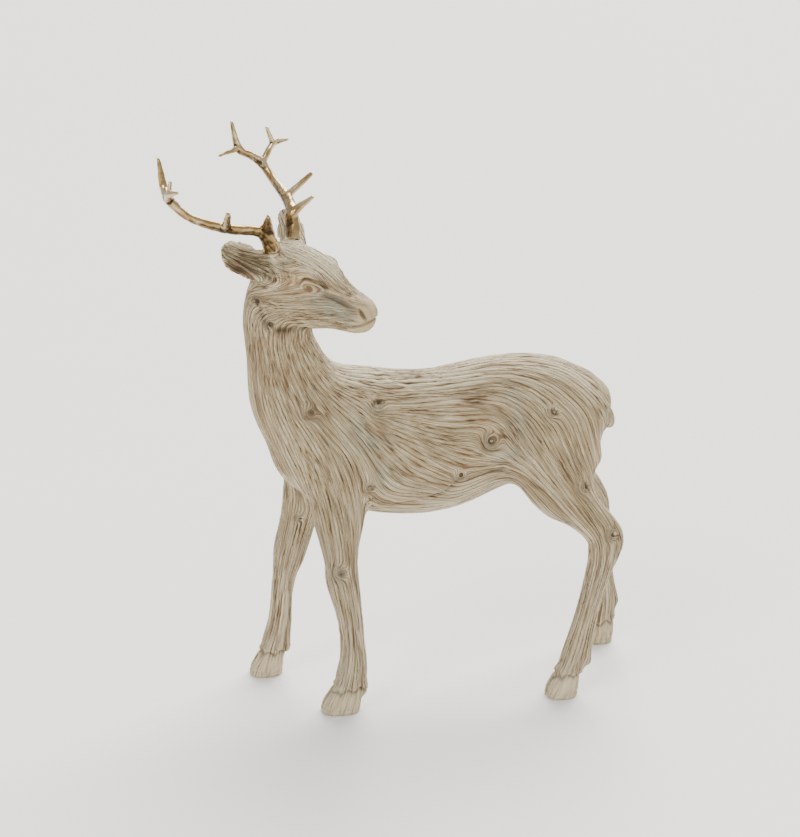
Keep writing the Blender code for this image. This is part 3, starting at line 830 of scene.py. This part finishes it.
@dataclass
class HairFlow:
    """Which way the carved hair runs, and how far across it each point lies."""

    blend_reach: float = 11.0  # how near a stroke has to be to outweigh the others
    hold: float = 14.0  # how much stiffer the numbers are along the hair than across it
    passes: int = 1200  # the most rounds that the solver makes
    coarse: float = 0.004  # the coarse skin's voxel, in metres

    def strokes(self) -> tuple[Arrays, Arrays]:
        """Gathers the strokes of the flanks, limbs and head.

        Returns:
            Their places, and their ways.
        """
        places, ways = [], []
        for x, half, height, way_x, way_z in FLANK_STROKES:
            for side in (-1, 1):
                places.append((x, MIDDLE + side * half, height))
                ways.append((way_x, 0.0, way_z))
        paths = [np.array(path, float) for path in LIMB_PATHS]
        paths += [HEAD_CENTRE + np.array(path, float) @ HEAD_AXES for path in HEAD_PATHS]
        for path in paths:
            for start, end in zip(path[:-1], path[1:]):
                for share in (0.15, 0.5, 0.85):
                    places.append(start + (end - start) * share)
                    ways.append(end - start)
        ways = np.array(ways, float)
        return np.array(places, float), ways / np.linalg.norm(ways, axis=1)[:, None]

    def way_at(self, points: Arrays) -> Arrays:
        """The hair's way at each point, before it is laid on the surface.

        Args:
            points: places in millimetres.

        Returns:
            Unit vectors.
        """
        places, ways = self.strokes()
        total = np.zeros_like(points)
        for place, way in zip(places, ways):
            gap = ((points - place) ** 2).sum(1)
            total += way / (gap + self.blend_reach**2)[:, None] ** 2
        return total / np.linalg.norm(total, axis=1)[:, None]

    def lay(self, fine: Arrays, edges: Arrays) -> list[Arrays]:
        """Works the flow out on a coarse skin and carries it to a finer one.

        Args:
            fine: the finer skin's points in millimetres.
            edges: the finer skin's edges.

        Returns:
            The numbers named in FLOW, at each point of the finer skin.
        """
        skin = cast_copy("body", "flow_skin")
        apply_modifier(skin, "REMESH", mode="VOXEL", voxel_size=self.coarse)
        points = points_of(skin.data)
        points = fair(points, edges_of(skin.data), 4, np.ones(len(points)))
        triangles = triangles_of(skin.data)
        fields = self.across(points, triangles)
        tree = BVHTree.FromPolygons(points.tolist(), triangles.tolist())
        found = [tree.find_nearest(point) for point in fine.tolist()]
        faces = triangles[[hit[2] for hit in found]]
        corner = points[faces]
        spot = np.array([hit[0] for hit in found])
        first, second = corner[:, 1] - corner[:, 0], corner[:, 2] - corner[:, 0]
        normal = np.cross(first, second)
        size = (normal**2).sum(1)
        third = (np.cross(first, spot - corner[:, 0]) * normal).sum(1) / size
        middle = (np.cross(spot - corner[:, 0], second) * normal).sum(1) / size
        shares = np.stack([1 - middle - third, middle, third], 1)
        bpy.data.objects.remove(skin)
        carried = []
        for field in fields:
            held = (field[faces] * shares).sum(1)
            for _ in range(4):
                held = neighbour_mean(edges, held)
            carried.append(held)
        return carried

    def across(self, points: Arrays, triangles: Arrays) -> list[Arrays]:
        """Solves for two numbers that stay the same along the hair and grow evenly across it.

        Args:
            points: the surface's points in millimetres.
            triangles: its faces as triples of point numbers.

        Returns:
            The numbers named in FLOW, at each point.
        """
        corner = points[triangles]
        normal = np.cross(corner[:, 1] - corner[:, 0], corner[:, 2] - corner[:, 0])
        double = np.maximum(np.linalg.norm(normal, axis=1), 1e-9)
        normal /= double[:, None]
        way = self.way_at(corner.mean(1))
        over = np.cross(way, (0.0, 1.0, 0.0))
        along = way - normal * (way * normal).sum(1)[:, None]
        along /= np.maximum(np.linalg.norm(along, axis=1), 1e-6)[:, None]
        side = np.cross(normal, along)
        sides = [corner[:, (i + 2) % 3] - corner[:, (i + 1) % 3] for i in range(3)]
        slopes = np.stack([np.cross(normal, one) for one in sides], 1) / double[:, None, None]
        run = np.einsum("tij,tj->ti", slopes, along)
        cross = np.einsum("tij,tj->ti", slopes, side)
        weight = double / 2
        solved = []
        for wanted, begin in ((side[:, 1], points[:, 1]), ((side * over).sum(1), points[:, 2])):
            solved.append(self._solve(triangles, run, cross, weight, wanted, begin))
        slopes = [(cross * field[triangles]).sum(1) for field in solved]
        corners = triangles.ravel()
        edges = np.concatenate([triangles[:, (0, 1)], triangles[:, (1, 2)]])
        total = slopes[0] ** 2 + slopes[1] ** 2 + 1e-6
        turned = slopes[0] ** 2 - slopes[1] ** 2, 2 * slopes[0] * slopes[1]
        even = []
        for by_face in (total, *turned):
            held = np.bincount(corners, np.repeat(by_face * weight, 3))
            held /= np.bincount(corners, np.repeat(weight, 3))
            for _ in range(10):
                held = neighbour_mean(edges, held)
            even.append(held)
        stretch = np.clip(-0.5 * np.log2(np.maximum(even[0], 1e-4)), 0, 3)
        length = np.hypot(even[1], even[2]) + 1e-6
        return [*solved, stretch, even[1] / length, even[2] / length]

    def _solve(
        self,
        triangles: Arrays,
        run: Arrays,
        cross: Arrays,
        weight: Arrays,
        wanted: Arrays,
        begin: Arrays,
    ) -> Arrays:
        """Finds the field whose slope across the hair is nearest to the wanted one.

        Args:
            triangles: the faces.
            run: each corner's part in the slope along the hair.
            cross: each corner's part in the slope across the hair.
            weight: the faces' areas.
            wanted: the slope wanted across the hair, by face.
            begin: the field to start from.

        Returns:
            The field at each point.
        """
        count = len(begin)
        corners = triangles.ravel()

        def gather(by_face: Arrays) -> Arrays:
            """Adds what each face gives to its corners."""
            return np.bincount(corners, by_face.ravel(), count)

        def pull(field: Arrays) -> Arrays:
            """Works out how hard the faces pull a field straight.

            Args:
                field: a number at each point.

            Returns:
                The pull at each point.
            """
            held = field[triangles]
            slope_run = (run * held).sum(1) * (weight * self.hold)
            slope_cross = (cross * held).sum(1) * weight
            return gather(run * slope_run[:, None] + cross * slope_cross[:, None])

        scale = gather((run**2 * self.hold + cross**2) * weight[:, None]) + 1e-9
        field = begin.copy()
        rest = gather(cross * (wanted * weight)[:, None]) - pull(field)
        lead = rest / scale
        heading = lead.copy()
        size = rest @ lead
        first_size = size
        for _ in range(self.passes):
            pulled = pull(heading)
            stride = size / (heading @ pulled)
            field += stride * heading
            rest -= stride * pulled
            lead = rest / scale
            new_size = rest @ lead
            if new_size < 1e-9 * first_size:
                break
            heading = lead + (new_size / size) * heading
            size = new_size
        return field


@dataclass
class Casting:
    """The cast body: head, ears, neck, trunk, tail and legs in one piece."""

    coarse: float = 0.0015  # the skin's voxel, in metres
    fair_rounds: int = 20
    groove_depth: float = 0.8  # in millimetres
    faces: int = 196000
    piece: Optional[bpy.types.Object] = None

    def build(self) -> bpy.types.Object:
        """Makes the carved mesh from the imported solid.

        Returns:
            The piece.
        """
        self.piece = cast_copy("body", "carved_casting")
        apply_modifier(self.piece, "REMESH", mode="VOXEL", voxel_size=self.coarse)
        mesh = self.piece.data
        points = self._faired(points_of(mesh), edges_of(mesh))
        set_points(mesh, points)
        write_numbers(mesh, **dict(zip(FLOW, HairFlow().lay(points, edges_of(mesh)))))
        apply_modifier(self.piece, "SUBSURF", levels=1, render_levels=1)
        self._carve()
        settle(self.piece, "body", self.faces)
        return self.piece

    def _faired(self, points: Arrays, edges: Arrays) -> Arrays:
        """Takes the solid's facets off, and keeps the soles flat.

        Args:
            points: places in millimetres.
            edges: pairs of point numbers.

        Returns:
            The new places.
        """
        soles = rise(points[:, 2], 1.0, 6.0)
        head = in_head(points)
        ears = rise(np.abs(head[:, 1]), 19, 25) * (head[:, 2] > -40) * (head[:, 0] < 20)
        ears = ears * (np.linalg.norm(head, axis=1) < 75)
        tail = rise(points[:, 0], 138, 148) * (points[:, 2] > 198)
        kept = 1 - 0.72 * np.maximum(ears, 0.7 * tail)
        moved = fair(points, edges, self.fair_rounds, soles * kept)
        moved[:, 2] = np.maximum(moved[:, 2], 0.0)
        return moved

    def _carve(self) -> None:
        """Carves the face, knots and grooves in the mesh, and keeps what the finish reads."""
        mesh = self.piece.data
        points = points_of(mesh)
        out = normals_of(mesh)
        first, second, *facing = (read_numbers(mesh, name) for name in FLOW)
        head = in_head(points)
        push, hollow = np.zeros((2, len(points)))
        side = np.where(points[:, 1] < MIDDLE, 1, -1)
        for knot in KNOTS:
            aside = np.hypot(points[:, 0] - knot.x, points[:, 2] - knot.height)
            here = (side == knot.side.value) * (aside < 5 * knot.spread)
            facing_out = here * (np.abs(out[:, 1]) > 0.2)
            second = second + knot.swirl * bell(aside, knot.spread) * facing_out * 0.5 ** facing[0]
            push += knot.proud * bell(aside - 0.9 * knot.spread, 0.6 * knot.spread) * facing_out
            inner = facing_out * (aside < 0.6 * knot.spread)
            coil = points[np.argmax(np.where(inner, second * np.sign(knot.swirl), -np.inf))]
            aside = np.hypot(points[:, 0] - coil[0], points[:, 2] - coil[2])
            push -= 1.6 * knot.proud * bell(aside, 0.32 * knot.spread) * here
            # Painted shade in the knot's pit.
            hollow += 1.5 * bell(aside, 0.40 * knot.spread) * here
        on_head = (np.linalg.norm(head, axis=1) < 105) * (points[:, 2] > 295)
        x, z = points[:, 0], points[:, 2]
        face_push, face_hollow, bare = self._face(head) * on_head
        ear_push, ear_hollow, rim = self._ears(head, out)
        fold_push, fold_hollow = self._folds(points, out)
        push += face_push + ear_push + fold_push
        # Painted shade: hollow darkens the knots' pits, the ears' cups, the folds and the face's
        # recesses.
        hollow += face_hollow + ear_hollow + fold_hollow
        hoof = rise(-z, -24, -17)
        carved = (1.0 - 0.85 * bare + 0.5 * ear_hollow) * (1 - 0.5 * hoof)
        facing[0] = facing[0] + 0.45 * on_head * rise(z, 300, 330) + 0.45 * rise(-z, -170, -110)
        lines = np.abs(grooves((first, second, *facing), x, z, np.sin, hat, LOCKS))
        strands = np.minimum(lines * LOCK_STEEPNESS, 1.0) - 0.7
        push += self.groove_depth * strands * carved * rise(z, 0.4, 4.0)
        set_points(mesh, inside_box(points + out * push[:, None], "body"))
        forward, left, up = head.T
        write_numbers(mesh, across_second=second, stretch=facing[0], carved=carved, hollow=hollow)
        write_numbers(mesh, head_forward=forward, head_left=left, head_up=up, place_x=x, place_z=z)
        write_numbers(mesh, **self._tints_and_painted_light(points, head, out, rim))

    def _folds(self, points: Arrays, out: Arrays) -> tuple[Arrays, Arrays]:
        """Carves the belly's ledge, the fold before the thigh, the tail's edge and the hooves.

        Args:
            points: places in millimetres.
            out: directions out of the surface.

        Returns:
            How far to push out, and how much painted shade the hollow gets.
        """
        x, y, z = points.T
        flat = np.stack([x, z], 1)
        beside = rise(np.abs(out[:, 1]), 0.1, 0.5) * (z > 150)
        ledge = ((-18, 167), (-3, 170), (18, 175.5), (29, 186), (46, 190), (64, 191))
        gap = near(flat, ledge)
        above = near(flat, [(a - 1.5, b + 3.2) for a, b in ledge])
        push = (0.8 * bell(above, 2.4) - 1.3 * bell(gap, 1.5)) * beside
        # Painted shade in the hollows below: the ledge, the hooves' crowns, rims and clefts, the
        # tail's edge.
        hollow = 0.3 * bell(gap, 1.2) * beside
        push -= 1.5 * bell(near(flat, ((70, 240), (66, 226), (67, 208), (66, 195))), 6.0) * beside
        ridge = near(flat, ((-24, 261), (-5, 250), (12, 246), (35, 241), (50, 232)))
        push += (0.9 * bell(ridge, 2.4) - 0.6 * bell(ridge - 5.0, 1.8)) * beside * (z > 225)
        wander = 1.6 * np.sin(x * 0.55 + y * 0.4) + np.sin(x * 0.23 - y * 0.9)
        crown = z - (19.5 + wander)
        push += 0.9 * bell(crown - 2.8, 2.0) - 1.5 * bell(crown, 1.5)
        hollow += 0.5 * bell(crown, 1.5)
        rim = (z > 0.5) * bell(z - 4.6, 0.9)
        push -= 0.45 * rim
        hollow += 0.12 * rim
        for toe_x, toe_y in ((-75, -47), (-127, 28), (101, -52), (157, 40)):
            cleft = bell(y - toe_y, 1.3) * (np.abs(x - toe_x) < 14) * (z < 17) * (z > 0.5)
            cleft = cleft * rise(-out[:, 0], 0.2, 0.6)
            push -= 2.0 * cleft
            hollow += 1.0 * cleft
        tail = (np.abs(y - MIDDLE) < 17) * (x > 118)
        edge = near(flat, ((124, 247), (138, 233), (147, 219), (150, 205)))
        shade = near(flat, ((132, 240), (141, 230), (148, 218), (151, 205)))
        flap = near(flat, ((136, 246), (147, 234), (155, 220), (158, 208)))
        push += (1.1 * bell(flap, 5.0) - 1.6 * bell(edge, 1.7)) * tail
        hollow += 0.4 * bell(shade, 1.3) * tail
        return push, hollow

    def _ears(self, head: Arrays, out: Arrays) -> tuple[Arrays, Arrays, Arrays]:
        """Deepens the two ears' hollows.

        Args:
            head: places in the head's forward, left and up.
            out: directions out of the surface.

        Returns:
            How far to push out, the hollow's painted shade, and the rim's painted highlight.
        """
        out = out @ HEAD_AXES.T
        push, hollow, rim = np.zeros((3, len(head)))
        for ear in EARS:
            spread = np.array(ear.spread) / np.linalg.norm(ear.spread)
            *middle, half = np.array(ear.stations, float).T
            best, ways, places = nearest(head, np.stack(middle, 1))
            aside, width = ways @ spread, np.interp(places, range(len(half)), half)
            faces_out = rise(out @ np.array(ear.opens), -0.1, 0.35)
            faces_out *= rise(np.abs(head[:, 1]), 13, 17) * (head[:, 1] * middle[1][0] > 0)
            share_out = np.maximum(np.abs(aside), 0.86 * best) / width
            inside = np.clip(1 - (share_out / 0.92) ** 2, 0, 1) * faces_out
            push += 0.5 * (best < 16) * rise(np.abs(head[:, 1]), 19, 25)
            push -= 2.2 * inside
            push += 0.7 * bell(share_out - 1.0, 0.13) * faces_out
            # Painted shade in the ear's cup, and a painted highlight along its rim.
            hollow += 0.38 * rise(inside, 0.3, 0.75)
            rim += bell(share_out - 1.0, 0.34) * (best < 16) * rise(np.abs(head[:, 1]), 16, 20)
        return push, hollow, np.minimum(rim, 1.0)

    def _face(self, head: Arrays) -> Arrays:
        """Carves the eyes, nose and mouth.

        Args:
            head: places in the head's forward, left and up.

        Returns:
            How far to push out, the hollow's painted shade, and how bare of hair the place is.
        """
        forward, left, up = head.T
        flat = np.stack([forward, up], 1)
        beside = np.abs(left) > 3.0
        on_head = (forward > 20) * beside
        along, rise_up = eye_place(forward, up)
        almond = np.hypot(along / 6.0, rise_up / 3.5) * (1 + 0.18 * np.abs(along / 6.0))
        here = on_head * (np.hypot(forward - 35, up + 18.5) < 16)
        push = 1.5 * np.sqrt(np.clip(1 - almond**2, 0, 1)) * here
        push -= 1.6 * bell(np.hypot((along - 1.5) / 1.3, rise_up - 0.5), 7.5) * here
        push -= 0.9 * bell(almond - 1.05, 0.15) * here
        push += 1.1 * bell(almond - 1.42, 0.24) * here * (0.7 + 0.3 * np.sign(rise_up))
        brow = near(flat, ((25, -14.5), (29.5, -11.5), (35, -10.6), (40.5, -12.5), (44, -16.5)))
        push -= 1.8 * bell(brow, 1.7) * here
        push += 1.3 * bell(near(flat, ((24, -10), (31, -7.5), (38, -8.5), (44, -12))), 2.6) * here
        # Painted shade under the brow, and below in the jaw's crease, the nostrils and the mouth.
        hollow = 0.25 * bell(brow, 1.6) * here
        tear = ((41.5, -20.5), (49, -22.2), (59, -25.5), (66, -28.3))
        push -= 2.0 * bell(near(flat, tear), 2.4) * on_head
        push += 0.9 * bell(near(flat, ((42, -26.5), (54, -29.5), (62, -32.5))), 3.2) * on_head
        jaw = ((30, -55), (24, -56), (12.3, -57.1), (3.4, -51.5), (-2, -45), (-6.3, -38.8))
        behind = bell(near(flat, jaw), 2.6) * (np.abs(left) > 8)
        push -= 2.2 * behind
        hollow += 0.5 * behind
        nostril = bell(near(flat, ((69.5, -28), (72.7, -31), (75.6, -35.5))), 1.15)
        nostril = nostril * (forward > 60) * (np.abs(left) > 2.0)
        rim = near(flat, ((66.5, -25.5), (72, -25), (77.5, -29.5), (78, -34)))
        push += 0.8 * bell(rim, 1.6) * (np.abs(left) > 2.0)
        push -= 2.2 * nostril
        hollow += 0.2 * nostril
        parting = ((53, -41.8), (60, -44), (70.5, -41), (77, -36.3), (82, -34))
        mouth = bell(near(flat, parting), 0.8) * (forward > 48)
        lip = near(flat, ((56, -45.5), (62, -47), (70, -45), (76, -41)))
        push += 0.6 * bell(lip, 1.6)
        push -= 1.4 * mouth
        hollow += 0.1 * mouth
        bare = np.maximum(rise(forward, 64, 72), bell(almond, 1.3) * here)
        bare = np.maximum(bare, 0.6 * bell(near(flat, tear), 3.2) * on_head)
        return np.stack([push, hollow, bare])

    def _tints_and_painted_light(self, points: Arrays, head: Arrays, out: Arrays, rim: Arrays) -> dict[str, Arrays]:
        """Finds where the ochre shows, where painted light pales the paint, and where the wash
        lies.

        Args:
            points: places in millimetres.
            head: the same in the head's forward, left and up.
            out: directions out of the surface.
            rim: where the ears' rims are.

        Returns:
            Shares from 0 to 1, by name.
        """
        x, z = points[:, 0], points[:, 2]
        forward, up = head[:, 0], head[:, 2]
        temple = bell(np.hypot((forward - 18) / 1.4, up + 14), 12) * (z > 315)
        back = rise(z, 252, 270) * (z < 300)
        warm = np.maximum(np.maximum(temple, back * 0.5), 0.5 * rise(-z, -120, -60))
        # Painted light: the up-facing crown and back, the belly lit from the floor below, and the
        # lower legs.
        crown = rise(up, -20, -2) * (z > 330) * rise(out[:, 2], 0.1, 0.8)
        back = rise(out[:, 2], 0.35, 0.85) * (z > 230) * (z < 300)
        belly = rise(-out[:, 2], 0.0, 0.6) * (z > 130) * (z < 190)
        pale = np.clip(crown + back + belly * 0.8 + 0.9 * rise(-z, -165, -90), 0, 1)
        washed = np.zeros(len(points))
        for at_x, height, reach in ((-40, 225, 16), (75, 235, 14), (66, 200, 12), (-30, 190, 12)):
            washed += 0.8 * bell(np.hypot(x - at_x, z - height), reach)
        for ahead, over, reach in ((48, -30, 9), (60, -36, 9), (36, -22, 7), (10, -8, 6)):
            washed += 0.8 * bell(np.hypot(forward - ahead, up - over), reach) * (z > 300)
        # The ears' rims get a painted highlight too.
        shares = {"warm": np.maximum(warm, 0.15), "pale": np.maximum(pale, rim), "washed": washed}
        return {name: np.clip(share, 0, 1) for name, share in shares.items()}

    def dress(self, finish: ResinFinish) -> None:
        """Gives the casting its finish and ties it to the frame.

        Args:
            finish: the resin's finish.
        """
        self.piece.data.materials.clear()
        self.piece.data.materials.append(finish.material())
        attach(self.piece, "root")
        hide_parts("body")


# The antlers' tips, in the head's forward, left and up.
TIPS = (
    (4.7, 33.0, 30.1), (-12.6, 61.4, 36.5), (-59.3, 70.5, 59.6), (-43.6, 79.7, 51.2),
    (-79.6, 52.0, 63.4), (-80.5, 38.3, 38.4), (2.5, -33.0, 32.7), (-13.7, -61.4, 38.0),
    (-55.4, -70.6, 54.0), (-43.3, -79.7, 50.7), (-78.0, -52.0, 61.0), (-82.3, -38.3, 41.1),
)


@dataclass
class Antler:
    """One gilded antler."""

    node: str
    shaded: Triple  # the way that the side with painted shade faces
    voxel: float = 0.00045  # in metres
    fair_rounds: int = 16
    dent: float = 0.11  # how deep the cast dents are, in millimetres
    faces: int = 60000
    piece: Optional[bpy.types.Object] = None

    def build(self) -> bpy.types.Object:
        """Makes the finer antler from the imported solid.

        Returns:
            The piece.
        """
        self.piece = cast_copy(self.node, f"gilded_{self.node}")
        apply_modifier(self.piece, "REMESH", mode="VOXEL", voxel_size=self.voxel)
        mesh = self.piece.data
        points, edges = points_of(mesh), edges_of(mesh)
        points = fair(points, edges, self.fair_rounds, np.ones(len(points)))
        set_points(mesh, points)
        out = normals_of(mesh)
        x, y, z = points.T
        dents = np.sin(x * 0.9 + 1.3 * np.sin(z * 0.31)) * np.sin(y * 0.8 - z * 0.37 + 2.0)
        dents += 0.6 * np.sin(x * 0.5 - z * 0.9 + y * 0.4)
        set_points(mesh, inside_box(points + out * (self.dent * dents)[:, None], self.node))
        smooth = points
        for _ in range(14):
            smooth = neighbour_mean(edges, smooth)
        sunk = ((smooth - points) * out).sum(1)
        # Painted shade: the side facing away from the light is darkened.
        under = rise(out @ np.array(self.shaded), -0.1, 0.6)
        head = in_head(points)
        tips = sum(bell(np.linalg.norm(head - np.array(tip), axis=1), 6.5) for tip in TIPS)
        dark = 0.12 + sunk * 2.2 - dents * 0.05 + 0.75 * under + 0.35 * tips
        write_numbers(mesh, hollow=np.clip(dark, 0, 1))
        settle(self.piece, self.node, self.faces)
        return self.piece

    def dress(self, material: bpy.types.Material) -> None:
        """Gives the antler its finish and ties it to the frame.

        Args:
            material: the gilding.
        """
        self.piece.data.materials.clear()
        self.piece.data.materials.append(material)
        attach(self.piece, "root")
        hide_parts(self.node)


@dataclass(frozen=True)
class Lamp:
    """A broad soft light far off: where it comes from, how strong it is, and its breadth."""

    name: str
    place: Triple
    strength: float
    degrees: float
    colour: Triple

    def hang(self) -> None:
        """Hangs the light, turned to the figure."""
        lamp = bpy.data.lights.new(self.name, "SUN")
        lamp.energy = self.strength
        lamp.angle = math.radians(self.degrees)
        lamp.color = self.colour
        made = bpy.data.objects.new(self.name, lamp)
        made.location = self.place
        made.rotation_euler = (-Vector(self.place)).to_track_quat("-Z", "Y").to_euler()
        bpy.context.scene.collection.objects.link(made)


@dataclass
class Studio:
    """The pale floor, the soft lights and the camera at the photograph's angle."""

    floor_half: float = 20.0
    camera_place: Triple = (-0.21883, -1.19588, 0.61627)
    camera_target: Triple = (-0.01239, -0.02512, 0.23)
    lens: float = 70.927  # in millimetres, on a frame 36 wide

    def build(self) -> None:
        """Makes the floor, lights, sky and camera."""
        self._floor()
        Lamp("key", (-0.75, -0.6, 0.9), 1.1, 22, (1.0, 0.985, 0.95)).hang()
        Lamp("rear", (0.45, 0.75, 0.95), 7.0, 50, (1.0, 0.975, 0.92)).hang()
        self._sky()
        self._camera()

    def _floor(self) -> None:
        """Lays the floor."""
        mesh = bpy.data.meshes.new("floor")
        half = self.floor_half
        corners = [(-half, -half, 0), (half, -half, 0), (half, half, 0), (-half, half, 0)]
        mesh.from_pydata(corners, [], [(0, 1, 2, 3)])
        mesh.materials.append(FloorFinish().material())
        floor = bpy.data.objects.new("floor", mesh)
        bpy.context.scene.collection.objects.link(floor)

    def _sky(self) -> None:
        """Fills the room with pale light."""
        world = bpy.data.worlds.new("studio")
        world.use_nodes = True
        background = world.node_tree.nodes["Background"].inputs
        background["Color"].default_value = (0.93, 0.94, 0.95, 1)
        background["Strength"].default_value = 0.95
        bpy.context.scene.world = world

    def _camera(self) -> None:
        """Sets the camera where the photograph was taken from."""
        lens = bpy.data.cameras.new("camera")
        lens.lens = self.lens
        lens.sensor_width = 36.0
        made = bpy.data.objects.new("camera", lens)
        place, target = Vector(self.camera_place), Vector(self.camera_target)
        aim = (target - place).to_track_quat("-Z", "Y").to_matrix().to_4x4()
        made.matrix_world = Matrix.Translation(place) @ aim
        bpy.context.scene.collection.objects.link(made)
        bpy.context.scene.camera = made


def main() -> None:
    """Builds and dresses the figurine, then the studio."""
    logging.basicConfig(level=logging.INFO, format="%(message)s")
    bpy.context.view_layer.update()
    casting = Casting()
    made = casting.build()
    casting.dress(ResinFinish())
    log.info("%s: %d faces", made.name, len(made.data.polygons))
    gilding = GiltFinish().material()
    shaded = {"left_antler": (-0.75, -0.25, -0.6), "right_antler": (0.3, -0.25, -0.92)}
    for node, direction in shaded.items():
        antler = Antler(node, direction)
        made = antler.build()
        antler.dress(gilding)
        log.info("%s: %d faces", made.name, len(made.data.polygons))
    Studio().build()


if __name__ == "__main__":
    main()
